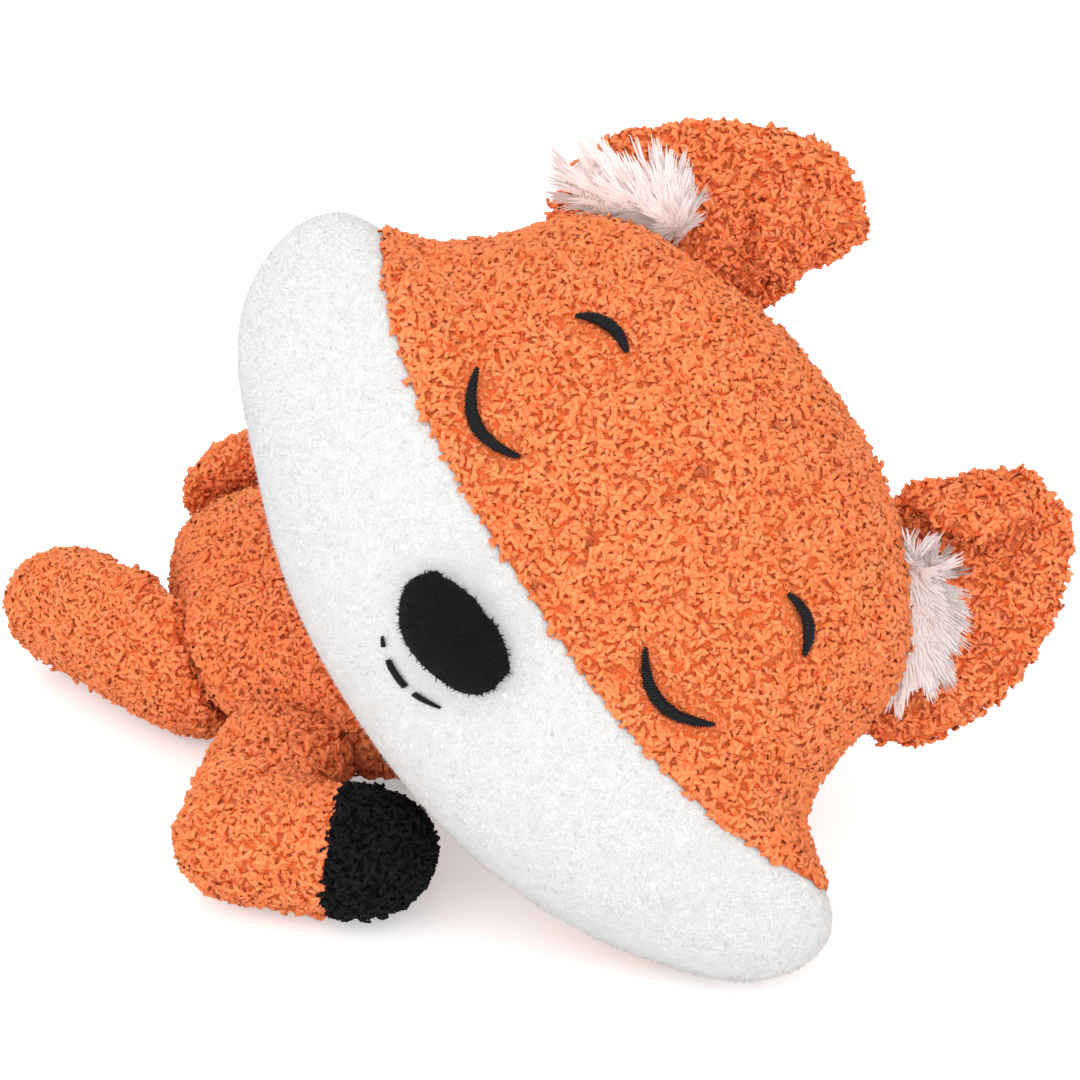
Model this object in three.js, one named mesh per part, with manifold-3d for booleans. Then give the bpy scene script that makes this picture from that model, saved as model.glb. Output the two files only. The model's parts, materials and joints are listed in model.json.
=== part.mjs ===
// A plush fox that sleeps on its belly, with its large head rolled over onto one cheek.
// Millimetres, +Z up. The face looks along -Y, the rump lies along +Y, and the toy's right is -X.
import * as THREE from 'three';
import { mergeVertices } from 'three/addons/utils/BufferGeometryUtils.js';
import Module from 'manifold-3d';

const wasm = await Module();
wasm.setup();

// Fabric, seams and rest
const coverThickness = 3;
const seatGap = 0.3;
const floorCut = 0.5;
const cutOverrun = 400;
const weldDistance = 0.0001;

// Torso
const torsoLength = 164;
const torsoFront = 34;
const torsoHalfWidth = 52;
const torsoHalfHeight = 35;
const torsoEndDrop = 7;
const sideSeamHeight = 26;

// Head, in its own frame: across the cheeks, up the face, and out of the face
const headHalfWidth = 135;
const headHeight = 177;
const headCentreHeight = 84;
const headFrontDepth = 62;
const headBackDepth = 50;
const headPlace = new THREE.Vector3(17, -13.4, 108.9);
const headTurnDeg = 32;
const headPitchDeg = 27;
const headRollDeg = 56.5;
const faceTurnDeg = 4.7;
const faceSeamDrop = 15.9;
const faceSeamRise = 25.3;
const faceSeamReach = 119;
const faceSeamPower = 2.8;
const backSeamDepth = 9;

// Neck, a stuffed ball between the torso and the head
const neckRadius = 27;
const neckPlace = new THREE.Vector3(4, 42, 65);

// Front legs, bent at the elbow, with the paws turned in
const shoulderSpread = 46;
const shoulderAlong = 70;
const upperArmRadius = 22.5;
const upperArmLength = 54;
const upperArmDeg = 229;
const forearmRadius = 22.5;
const forearmLength = 62;
const forearmDeg = -40;
const pawLength = 31;
const leftLegSwingDeg = 24;

// Hind legs
const hipSpread = 47;
const hipInset = 70;
const thighRadius = 27;
const footRadius = 22.5;
const hindLegLength = 94;
const hindLegDeg = 108;

// Tail, curled up over the rump
const tailRadius = 18;
const tailInset = 12;
const tailHeight = 43;
const tailOut = 20;
const tailLift = 18;
const tailCurl = 34;

// Ears, along a seam behind the crest of the head
const earSeamInner = new THREE.Vector2(34, 88);
const earSeamOuter = new THREE.Vector2(93, 50);
const earSeamDepth = 13;
const earPanelThickness = 5;
const earPanelGap = 0.6;
const earLeafHeight = 54;
const earRollRadius = 9.5;
const earRollLeanDeg = 29;
const earRollTurnDeg = 150;
const earLeanDeg = { left: -6, right: 0 };
const earCupDepth = 9;
const earTuftAlong = 47;
const earTuftUp = 16;
const earTuftHalfWidth = 23;
const earTuftHalfHeight = 11;
const earTuftThickness = 8;
const earTuftSink = 2;

// Nose and stitched face
const noseDrop = 39.9;
const noseHalfWidth = 20.8;
const noseHalfHeight = 12.7;
const noseDepth = 9;
const noseSink = 4;
const noseCoverThickness = 1.6;
const stitchHalfWidth = 2;
const stitchHeight = 1.4;
const stitchSink = 2.6;

// How far each limb turns, as [least, most] degrees
const turns = {
  frontLeg: [-5, 20],
  hindLeg: [-15, 15],
  tailLift: [-10, 30],
  ear: [-15, 15],
};

// Grids of the stuffed forms
const limbSides = 12;
const neckSides = 20;
const torsoSides = 20;
const headColumns = 44;
const headRows = 10;
const earColumns = 28;
const tuftColumns = 12;
const tuftRows = 4;
const noseColumns = 16;
const noseRows = 6;
const stitchSides = 6;
const stitchPoints = 6;
const turnSteps = 3;

// Shares of the torso's length and of its ends' drop
const torsoSpineShares = [[0, 1], [0.25, 0.12], [0.45, 0], [0.65, 0], [0.8, 0.08], [1, 1]];

// Shapes as shares: [along, girth] from the root to the tip
const torsoShares = [
  [0, 0], [0.025, 0.42], [0.09, 0.68], [0.2, 0.84], [0.34, 0.93], [0.5, 1],
  [0.66, 1], [0.8, 0.94], [0.91, 0.78], [0.975, 0.5], [1, 0],
];
const limbShares = [
  [0, 0], [0.06, 0.62], [0.2, 0.93], [0.4, 1], [0.62, 0.99], [0.8, 0.93], [0.94, 0.62], [1, 0],
];
const hindLegShares = [
  [0, 0], [0.05, 0.66], [0.16, 0.95], [0.34, 1], [0.54, 0.93], [0.74, 0.86], [0.9, 0.74], [0.97, 0.45], [1, 0],
];
const tailShares = [
  [0, 0], [0.06, 0.5], [0.2, 0.78], [0.42, 0.97], [0.62, 1], [0.82, 0.86], [0.95, 0.5], [1, 0],
];
const forearmShares = [
  [0, 0], [0.06, 0.58], [0.2, 0.87], [0.4, 0.91], [0.62, 0.98], [0.8, 1], [0.94, 0.68], [1, 0],
];
const stitchShares = [[0, 0], [0.03, 0.55], [0.2, 0.9], [0.5, 1], [0.8, 0.9], [0.97, 0.55], [1, 0]];

// Half outline of the head from chin to crown, as shares of its half width and of its height
const headOutlineShares = [
  [0, 0], [0.225, 0.01], [0.43, 0.042], [0.62, 0.1], [0.82, 0.192], [0.952, 0.3],
  [1, 0.395], [0.985, 0.468], [0.933, 0.506], [0.831, 0.53], [0.755, 0.583], [0.697, 0.673],
  [0.66, 0.761], [0.562, 0.872], [0.404, 0.94], [0.247, 0.983], [0, 1],
];
const headFullnessShare = 0.78;
const noseFullnessShare = 0.85;

// Outline of an ear's leaf laid flat, as shares of the seam's length and of the leaf's height
const earLeafShares = [
  [0.03, -0.06], [0.5, -0.07], [1, -0.05], [1.05, 0.06], [0.98, 0.4], [0.73, 0.76], [0.48, 0.93],
  [0.24, 1], [0.01, 0.99], [-0.2, 0.82], [-0.38, 0.62], [-0.52, 0.38], [-0.5, 0.12], [-0.25, -0.04],
];

// Rings of the leaf's grid from its middle to its rim
const earRingShares = [0, 0.4, 0.68, 0.87, 1];

// Stitched lines on the face, as shares of the head's half width and height from its centre
const eyeShares = [[0.235, 0.012], [0.32, -0.013], [0.372, -0.005], [0.438, 0.035]];
const browShares = [[0.3, 0.246], [0.366, 0.25], [0.421, 0.213]];
const mouthShares = [[-0.086, -0.336], [-0.033, -0.351], [0.029, -0.349], [0.103, -0.32]];

const upward = new THREE.Vector3(0, 0, 1);
const radians = THREE.MathUtils.degToRad;

function heading(angleDeg) {
  return new THREE.Vector3(Math.cos(radians(angleDeg)), Math.sin(radians(angleDeg)), 0);
}

// A unit ball whose grid is laid out again by place(column, row)
function formFrom(columns, rows, place) {
  const ball = new THREE.SphereGeometry(1, columns, rows);
  const { position, uv } = ball.attributes;
  for (let i = 0; i < position.count; i += 1) {
    const column = Math.round(uv.getX(i) * columns) % columns;
    const row = Math.round((1 - uv.getY(i)) * rows);
    const spot = place(column, row);
    position.setXYZ(i, spot.x, spot.y, spot.z);
  }
  return ball;
}

// A stuffed tube that swells and tapers along its spine; inset makes it smaller all round
function stuffedTube({ spine, across, high, shares, sides }, inset = 0) {
  const curve = new THREE.CatmullRomCurve3(spine);
  const length = curve.getLength();
  return formFrom(sides, shares.length - 1, (column, row) => {
    const [alongShare, girthShare] = shares[row];
    const along = (inset + alongShare * (length - 2 * inset)) / length;
    const inside = THREE.MathUtils.clamp(along, 0, 1);
    const tangent = curve.getTangentAt(inside);
    const side = upward.clone().cross(tangent).normalize();
    const rise = tangent.clone().cross(side);
    const angle = (column / sides) * 2 * Math.PI;
    return curve.getPointAt(inside)
      .addScaledVector(tangent, (along - inside) * length)
      .addScaledVector(side, -Math.cos(angle) * girthShare * (across - inset))
      .addScaledVector(rise, Math.sin(angle) * girthShare * (high - inset));
  });
}

// A point of a closed outline in the XY plane, moved inward by inset
function rimPoint(outline, share, inset) {
  const tangent = outline.getTangent(share);
  return outline.getPoint(share).add(new THREE.Vector3(-tangent.y, tangent.x, 0).multiplyScalar(inset));
}

// A pillow inside an outline, with its own depth in front and behind
function pillow({ outline, frontDepth, backDepth, fullnessShare, columns, rows }, inset = 0) {
  return formFrom(columns, rows, (column, row) => {
    const angle = (row / rows) * Math.PI;
    const depth = Math.cos(angle) > 0 ? frontDepth : backDepth;
    const spot = rimPoint(outline, column / columns, inset);
    spot.multiplyScalar(Math.max(Math.sin(angle), 0) ** fullnessShare);
    spot.z = Math.cos(angle) * (depth - inset);
    return spot;
  });
}

function solidOf(geometry) {
  const bare = geometry.clone();
  bare.deleteAttribute('normal');
  bare.deleteAttribute('uv');
  const merged = mergeVertices(bare, weldDistance);
  const corners = merged.index.array;
  const triVerts = [];
  for (let i = 0; i < corners.length; i += 3) {
    const [a, b, c] = corners.slice(i, i + 3);
    if (a !== b && b !== c && c !== a) triVerts.push(a, b, c);
  }
  return new wasm.Manifold(new wasm.Mesh({
    numProp: 3,
    vertProperties: merged.attributes.position.array,
    triVerts: new Uint32Array(triVerts),
  }));
}

function geometryOf(solid) {
  const { vertProperties, triVerts } = solid.getMesh();
  const geometry = new THREE.BufferGeometry();
  geometry.setAttribute('position', new THREE.BufferAttribute(vertProperties, 3));
  geometry.setIndex(new THREE.BufferAttribute(triVerts, 1));
  geometry.computeVertexNormals();
  return geometry;
}

function cut(solid, ...cutters) {
  return cutters.reduce((left, cutter) => left.subtract(cutter), solid);
}

// The same geometry with its faces turned over
function turnedOver(geometry) {
  const corners = geometry.index.array;
  for (let i = 0; i < corners.length; i += 3) {
    [corners[i], corners[i + 1]] = [corners[i + 1], corners[i]];
  }
  return geometry;
}

// The same geometry on the other side of the YZ plane, still facing out
function mirrored(geometry) {
  return turnedOver(geometry.clone().scale(-1, 1, 1));
}

function turnAbout(place, axis, angle) {
  return new THREE.Matrix4().makeTranslation(place.x, place.y, place.z)
    .multiply(new THREE.Matrix4().makeRotationAxis(axis, angle))
    .multiply(new THREE.Matrix4().makeTranslation(-place.x, -place.y, -place.z));
}

// Everything that a neighbour fills, seen from a limb that turns from its least to its most angle
function sweptNeighbour(geometry, place, axis, [least, most]) {
  let swept = solidOf(geometry);
  for (let step = 0; step <= turnSteps; step += 1) {
    const angle = -radians(least + ((most - least) * step) / turnSteps);
    swept = swept.add(solidOf(geometry.clone().applyMatrix4(turnAbout(place, axis, angle))));
  }
  return swept;
}

function block(low, high) {
  const size = high.clone().sub(low);
  const middle = low.clone().add(high).multiplyScalar(0.5);
  return new THREE.BoxGeometry(size.x, size.y, size.z).translate(middle.x, middle.y, middle.z);
}

// The surface that the toy lies on
const farCorner = new THREE.Vector3(cutOverrun, cutOverrun, cutOverrun);
const floorBlock = block(farCorner.clone().negate(), farCorner.clone().setZ(0));
const floor = solidOf(floorBlock);

// Materials
function fabric(color, roughness) {
  return new THREE.MeshStandardMaterial({ color, roughness, metalness: 0 });
}
const orangeBoucle = fabric(0xe8743b, 0.95);
const whitePlush = fabric(0xf1efec, 0.92);
const blackBoucle = fabric(0x17171b, 0.9);
const blackVelboa = fabric(0x121215, 0.7);
const blackThread = fabric(0x0d0d0f, 0.5);
const longPile = fabric(0xf5e6e4, 0.9);
const fibreFill = fabric(0xf3f1ea, 1);

const fox = new THREE.Group();

function addPiece(name, solid, material, group = fox) {
  const mesh = new THREE.Mesh(geometryOf(solid), material);
  mesh.name = name;
  group.add(mesh);
}

// Torso
const torsoEnd = torsoFront + torsoLength;
const hipAlong = torsoEnd - hipInset;
const tailAlong = torsoEnd - tailInset;
const torsoCentreHeight = torsoHalfHeight - floorCut;
function torsoSpot(share, drop) {
  return new THREE.Vector3(0, torsoFront + torsoLength * share, torsoCentreHeight - drop);
}
const torsoForm = {
  spine: torsoSpineShares.map(([along, drop]) => torsoSpot(along, drop * torsoEndDrop)),
  across: torsoHalfWidth,
  high: torsoHalfHeight,
  shares: torsoShares,
  sides: torsoSides,
};
const torsoRoom = stuffedTube(torsoForm, -seatGap);

// Head frame: turned, pitched up, rolled onto the cheek, and turned a little about its own height
const pitchedOut = heading(270 - headTurnDeg).multiplyScalar(Math.cos(radians(headPitchDeg)));
pitchedOut.z = Math.sin(radians(headPitchDeg));
const levelAcross = heading(-headTurnDeg);
const faceUp = pitchedOut.clone().cross(levelAcross).applyAxisAngle(pitchedOut, -radians(headRollDeg));
const faceOut = pitchedOut.clone().applyAxisAngle(faceUp, -radians(faceTurnDeg));
const faceAcross = faceUp.clone().cross(faceOut);
const headFrame = new THREE.Matrix4().makeBasis(faceAcross, faceUp, faceOut).setPosition(headPlace);
const intoHead = headFrame.clone().invert();

const headOutlinePoints = headOutlineShares.map(([wide, tall]) => new THREE.Vector3(
  wide * headHalfWidth,
  tall * headHeight - headCentreHeight,
  0,
));
const otherCheek = headOutlinePoints.slice(1, -1).reverse()
  .map((point) => new THREE.Vector3(-point.x, point.y, 0));
const headForm = {
  outline: new THREE.CatmullRomCurve3([...headOutlinePoints, ...otherCheek], true),
  frontDepth: headFrontDepth,
  backDepth: headBackDepth,
  fullnessShare: headFullnessShare,
  columns: headColumns,
  rows: headRows,
};
const headRoom = pillow(headForm, -seatGap);
const headRoomSolid = solidOf(headRoom);

// How far the face stands out at a place on it
const headSkin = new THREE.Mesh(headRoom);
function faceHeight(x, y) {
  const sight = new THREE.Raycaster(new THREE.Vector3(x, y, headHeight), upward.clone().negate());
  return sight.intersectObject(headSkin)[0].point.z;
}

// Torso pieces, sewn along a side seam, with a seat for the neck
// A seat's flats stay clear of the ball's corners, however the ball turns
function ballAt(place, radius) {
  return new THREE.SphereGeometry(radius, neckSides, neckSides / 2).translate(place.x, place.y, place.z);
}
const neckSeatRadius = neckRadius / Math.cos(Math.PI / neckSides) ** 2 + seatGap;
const neckSeat = solidOf(ballAt(neckPlace, neckSeatRadius));
const torsoFull = cut(solidOf(stuffedTube(torsoForm)), floor, neckSeat);
const torsoInside = solidOf(stuffedTube(torsoForm, coverThickness));
const torsoShell = cut(torsoFull, torsoInside);
const overSeam = solidOf(block(
  farCorner.clone().negate().setZ(sideSeamHeight + seatGap / 2),
  farCorner,
));
const underSeam = solidOf(block(
  farCorner.clone().negate(),
  farCorner.clone().setZ(sideSeamHeight - seatGap / 2),
));
addPiece('torso_back_cover', torsoShell.intersect(overSeam), orangeBoucle);
addPiece('torso_belly_cover', torsoShell.intersect(underSeam), orangeBoucle);
addPiece('torso_filling', cut(
  solidOf(stuffedTube(torsoForm, coverThickness + seatGap)),
  neckSeat,
), fibreFill);

// Neck
const neckBall = (inset) => solidOf(ballAt(neckPlace, neckRadius - inset));
const neckMouth = solidOf(stuffedTube({
  spine: [neckPlace.clone(), neckPlace.clone().addScaledVector(faceOut, neckRadius * 2)],
  across: neckRadius / 2,
  high: neckRadius / 2,
  shares: limbShares,
  sides: limbSides,
}));
addPiece('neck_cover', cut(neckBall(0), neckBall(coverThickness), neckMouth), orangeBoucle);
addPiece('neck_filling', neckBall(coverThickness + seatGap), fibreFill);

// Head covers: an orange face, a white muzzle below a curved seam, and an orange back
const head = new THREE.Group();
head.applyMatrix4(headFrame);
fox.add(head);

function seamHeight(x) {
  return faceSeamRise * (Math.abs(x) / faceSeamReach) ** faceSeamPower - faceSeamDrop;
}

function faceRegion(side, from, to) {
  const reach = headHalfWidth + coverThickness;
  const offset = (side * seatGap) / 2;
  const shape = new THREE.Shape();
  shape.moveTo(-reach, side * headHeight);
  for (let column = 0; column <= headColumns; column += 1) {
    const x = reach * ((2 * column) / headColumns - 1);
    shape.lineTo(x, seamHeight(x) + offset);
  }
  shape.lineTo(reach, side * headHeight);
  const region = new THREE.ExtrudeGeometry(shape, { depth: to - from, bevelEnabled: false });
  return solidOf(region.translate(0, 0, from));
}

const floorInHead = solidOf(floorBlock.clone().applyMatrix4(intoHead));
const neckSeatInHead = solidOf(ballAt(neckPlace, neckSeatRadius).applyMatrix4(intoHead));
const headShell = cut(
  solidOf(pillow(headForm)),
  solidOf(pillow(headForm, coverThickness)),
  floorInHead,
  neckSeatInHead,
);
const seamFront = seatGap / 2 - backSeamDepth;
addPiece('head_face_cover', headShell.intersect(faceRegion(1, seamFront, headHeight)), orangeBoucle, head);
addPiece('head_muzzle_cover', headShell.intersect(faceRegion(-1, seamFront, headHeight)), whitePlush, head);
const behindSeam = solidOf(block(
  farCorner.clone().negate(),
  farCorner.clone().setZ(seamFront - seatGap),
));
addPiece('head_back_cover', headShell.intersect(behindSeam), orangeBoucle, head);
addPiece('head_filling', cut(
  solidOf(pillow(headForm, coverThickness + seatGap)),
  neckSeatInHead,
), fibreFill, head);

// A closed oval in the XY plane
function oval(halfWidth, halfHeight, corners) {
  return new THREE.CatmullRomCurve3(Array.from({ length: corners }, (_, i) => {
    const angle = (i / corners) * 2 * Math.PI;
    return new THREE.Vector3(halfWidth * Math.cos(angle), halfHeight * Math.sin(angle), 0);
  }), true);
}

// Nose, a padded oval on the muzzle
const noseForm = {
  outline: oval(noseHalfWidth, noseHalfHeight, noseColumns),
  frontDepth: noseDepth + noseSink,
  backDepth: noseDepth,
  fullnessShare: noseFullnessShare,
  columns: noseColumns,
  rows: noseRows,
};
const noseAt = (inset) => solidOf(pillow(noseForm, inset)
  .translate(0, -noseDrop, faceHeight(0, -noseDrop) - noseSink));
addPiece('nose_cover', cut(noseAt(0), noseAt(noseCoverThickness), headRoomSolid), blackVelboa, head);
addPiece('nose_padding', cut(noseAt(noseCoverThickness + seatGap), headRoomSolid), fibreFill, head);

// Stitched eyes, brows and mouth, lying on the face
function stitch(name, shares, side = 1) {
  const line = new THREE.CatmullRomCurve3(shares.map(([wide, tall]) => new THREE.Vector3(
    side * wide * headHalfWidth,
    tall * headHeight,
    0,
  )));
  const spine = line.getPoints(stitchPoints)
    .map(({ x, y }) => new THREE.Vector3(x, y, faceHeight(x, y) - stitchSink / 2));
  const thread = stuffedTube({
    spine,
    across: stitchHalfWidth,
    high: stitchHeight + stitchSink / 2,
    shares: stitchShares,
    sides: stitchSides,
  });
  addPiece(name, cut(solidOf(thread), headRoomSolid), blackThread, head);
}
stitch('mouth_stitch', mouthShares);
[['left', 1], ['right', -1]].forEach(([sideName, side]) => {
  stitch(`eye_stitch_${sideName}`, eyeShares, side);
  stitch(`brow_stitch_${sideName}`, browShares, side);
});

// Ears: a front and a back panel, cupped, with the inner edge rolled forward, and a tuft at the root
const earSeam = earSeamOuter.clone().sub(earSeamInner);
const earAlong = new THREE.Vector3(earSeam.x, earSeam.y, 0).normalize();
const earUp = new THREE.Vector3(-earAlong.y, earAlong.x, 0);
const earRoot = new THREE.Vector3(earSeamInner.x, earSeamInner.y, -earSeamDepth);
const earFrame = new THREE.Matrix4().makeBasis(earAlong, earUp, upward).setPosition(earRoot);
const leafOutline = new THREE.CatmullRomCurve3(earLeafShares.map(([along, tall]) => new THREE.Vector3(
  along * earSeam.length(),
  tall * earLeafHeight,
  0,
)), true);

// Bends a place on the flat leaf, at a distance from its middle sheet, into the cup and the roll
function onEar(flat, off) {
  const across = new THREE.Vector3(-Math.cos(radians(earRollLeanDeg)), -Math.sin(radians(earRollLeanDeg)), 0);
  const foldStart = new THREE.Vector3().addScaledVector(across, -earRollRadius);
  const past = flat.clone().sub(foldStart).dot(across);
  if (past <= 0) {
    const cup = earCupDepth * (flat.x / earSeam.length()) ** 2 * Math.max(flat.y / earLeafHeight, 0);
    return flat.clone().setZ(off + (flat.x > 0 ? cup : 0));
  }
  const bend = Math.min(past / earRollRadius, radians(earRollTurnDeg));
  const straight = past - bend * earRollRadius;
  const inner = earRollRadius - off;
  return flat.clone().addScaledVector(across, inner * Math.sin(bend) + straight * Math.cos(bend) - past)
    .setZ(earRollRadius - inner * Math.cos(bend) + straight * Math.sin(bend));
}

// The back panel's columns run the other way, so that its facets match the front panel's
function earPanel(side, thickness) {
  const middleRow = earRingShares.length - 1;
  const panel = formFrom(earColumns, middleRow * 2, (column, row) => {
    const ringShare = earRingShares[Math.min(row, middleRow * 2 - row)];
    const aroundShare = (side > 0 ? column : earColumns - column) / earColumns;
    const middle = new THREE.Vector3(earSeam.length() / 4, earLeafHeight / 3, 0);
    const spot = rimPoint(leafOutline, aroundShare, 0).lerp(middle, 1 - ringShare);
    const outerSide = side > 0 ? row < middleRow : row > middleRow;
    const puff = outerSide ? Math.sqrt(1 - ringShare ** 2) * (thickness - earPanelGap / 2) : 0;
    return onEar(spot, side * (puff + earPanelGap / 2));
  });
  return side > 0 ? panel : turnedOver(panel);
}

const tuftPad = pillow({
  outline: oval(earTuftHalfWidth, earTuftHalfHeight, tuftColumns),
  frontDepth: earTuftThickness,
  backDepth: earTuftSink,
  fullnessShare: noseFullnessShare,
  columns: tuftColumns,
  rows: tuftRows,
}).translate(earTuftAlong, earTuftUp, earPanelThickness);

[['left', 1], ['right', -1]].forEach(([sideName, side]) => {
  const place = earRoot.clone().multiply(new THREE.Vector3(side, 1, 1));
  const axis = earAlong.clone().multiply(new THREE.Vector3(side, 1, 1)).multiplyScalar(side);
  const clear = sweptNeighbour(headRoom, place, axis, turns.ear);
  const seamMiddle = new THREE.Vector3(earSeam.length() / 2, 0, 0);
  const lean = turnAbout(seamMiddle, upward, radians(earLeanDeg[sideName]));
  const onHead = (geometry) => {
    const seated = geometry.clone().applyMatrix4(lean).applyMatrix4(earFrame);
    return solidOf(side > 0 ? seated : mirrored(seated));
  };
  const back = onHead(earPanel(-1, earPanelThickness));
  const panelRoom = onHead(earPanel(1, earPanelThickness + seatGap));
  addPiece(`ear_${sideName}_front_panel`, cut(onHead(earPanel(1, earPanelThickness)), clear), orangeBoucle, head);
  addPiece(`ear_${sideName}_back_panel`, cut(back, clear), orangeBoucle, head);
  addPiece(`ear_${sideName}_tuft`, cut(onHead(tuftPad), clear, panelRoom, back), longPile, head);
});

// Legs and tail: a cover open at its root, where it is sewn to the torso, and its filling
function coveredLimb(parts, inset) {
  return parts.map((part) => solidOf(stuffedTube(part, inset))).reduce((left, right) => left.add(right));
}

function swung(point, pivot, angleDeg) {
  return point.clone().applyMatrix4(turnAbout(pivot, upward, radians(angleDeg)));
}

function frontLeg(sideName, side, swingDeg) {
  const pivot = new THREE.Vector3(side * shoulderSpread, shoulderAlong, upperArmRadius);
  const flip = new THREE.Vector3(-side, 1, 1);
  const toSide = (point) => swung(point.clone().multiply(flip), pivot, swingDeg);
  const shoulder = new THREE.Vector3(-shoulderSpread, shoulderAlong, upperArmRadius - floorCut);
  const armWay = heading(upperArmDeg);
  const forearmWay = heading(forearmDeg);
  const elbow = shoulder.clone().addScaledVector(armWay, upperArmLength);
  const elbowLow = elbow.clone().setZ(forearmRadius - floorCut);
  const pawTip = elbowLow.clone().addScaledVector(forearmWay, forearmLength);
  const parts = [
    {
      spine: [
        shoulder.clone().addScaledVector(armWay, -upperArmRadius),
        elbow.clone().addScaledVector(armWay, forearmRadius / 2),
      ].map(toSide),
      across: upperArmRadius,
      high: upperArmRadius,
      shares: limbShares,
      sides: limbSides,
    },
    {
      spine: [elbowLow.clone().addScaledVector(forearmWay, -forearmRadius), pawTip].map(toSide),
      across: forearmRadius,
      high: forearmRadius,
      shares: forearmShares,
      sides: limbSides,
    },
  ];
  const range = side < 0 ? turns.frontLeg.map((angle) => -angle).reverse() : turns.frontLeg;
  const clear = sweptNeighbour(torsoRoom, pivot, upward, range);
  const whole = cut(coveredLimb(parts, 0), clear, floor);
  const shell = cut(whole, coveredLimb(parts, coverThickness));
  const seamSpot = toSide(pawTip.clone().addScaledVector(forearmWay, -pawLength));
  const pawWay = toSide(pawTip).sub(seamSpot).normalize();
  const pawFrame = new THREE.Matrix4()
    .makeBasis(pawWay, upward.clone().cross(pawWay), upward).setPosition(seamSpot);
  const pawBox = (start) => solidOf(block(
    new THREE.Vector3(start, -forearmRadius * 2, -forearmRadius * 2),
    new THREE.Vector3(pawLength * 2, forearmRadius * 2, forearmRadius * 2),
  ).applyMatrix4(pawFrame));
  addPiece(`front_leg_${sideName}_cover`, cut(shell, pawBox(-seatGap / 2)), orangeBoucle);
  addPiece(`front_paw_${sideName}_cover`, shell.intersect(pawBox(seatGap / 2)), blackBoucle);
  addPiece(`front_leg_${sideName}_filling`, cut(coveredLimb(parts, coverThickness + seatGap), clear), fibreFill);
}
frontLeg('right', -1, 0);
frontLeg('left', 1, leftLegSwingDeg);

function hindLeg(sideName, side) {
  const pivot = new THREE.Vector3(side * hipSpread, hipAlong, thighRadius);
  const way = heading(90 - side * (hindLegDeg - 90));
  const hip = pivot.clone().setZ(thighRadius - floorCut).addScaledVector(way, -thighRadius);
  const foot = pivot.clone().setZ(footRadius - floorCut).addScaledVector(way, hindLegLength);
  const parts = [{
    spine: [hip, foot], across: thighRadius, high: thighRadius, shares: hindLegShares, sides: limbSides,
  }];
  const range = side < 0 ? turns.hindLeg.map((angle) => -angle).reverse() : turns.hindLeg;
  const clear = sweptNeighbour(torsoRoom, pivot, upward, range);
  const whole = cut(coveredLimb(parts, 0), clear, floor);
  addPiece(`hind_leg_${sideName}_cover`, cut(whole, coveredLimb(parts, coverThickness)), orangeBoucle);
  addPiece(`hind_leg_${sideName}_filling`, cut(coveredLimb(parts, coverThickness + seatGap), clear), fibreFill);
}
hindLeg('right', -1);
hindLeg('left', 1);

const tailPivot = new THREE.Vector3(0, tailAlong, tailHeight);
const tailParts = [{
  spine: [
    new THREE.Vector3(0, tailAlong - tailRadius, tailHeight),
    new THREE.Vector3(0, tailAlong + tailOut / 2, tailHeight + tailLift / 2),
    new THREE.Vector3(tailCurl, tailAlong + tailOut, tailHeight + tailLift),
  ],
  across: tailRadius,
  high: tailRadius,
  shares: tailShares,
  sides: limbSides,
}];
const tailClear = sweptNeighbour(torsoRoom, tailPivot, new THREE.Vector3(1, 0, 0), turns.tailLift);
addPiece('tail_cover', cut(
  coveredLimb(tailParts, 0),
  coveredLimb(tailParts, coverThickness),
  tailClear,
), orangeBoucle);
addPiece('tail_filling', cut(coveredLimb(tailParts, coverThickness + seatGap), tailClear), fibreFill);

// The origin lies at the middle of the toy's outer box, on the surface that it rests on
fox.updateMatrixWorld(true);
const outerBox = new THREE.Box3().setFromObject(fox, true);
const middle = outerBox.getCenter(new THREE.Vector3());
fox.position.set(-middle.x, -middle.y, -outerBox.min.z);

export default fox;
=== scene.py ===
"""A sleeping plush fox: boucle body, white muzzle, black nose and paws, stitched face and ear tufts."""
import json
import math

import bmesh
import bpy
from bpy.props import FloatProperty, FloatVectorProperty, IntProperty, PointerProperty
from mathutils import Matrix, Vector
from mathutils.bvhtree import BVHTree


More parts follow.
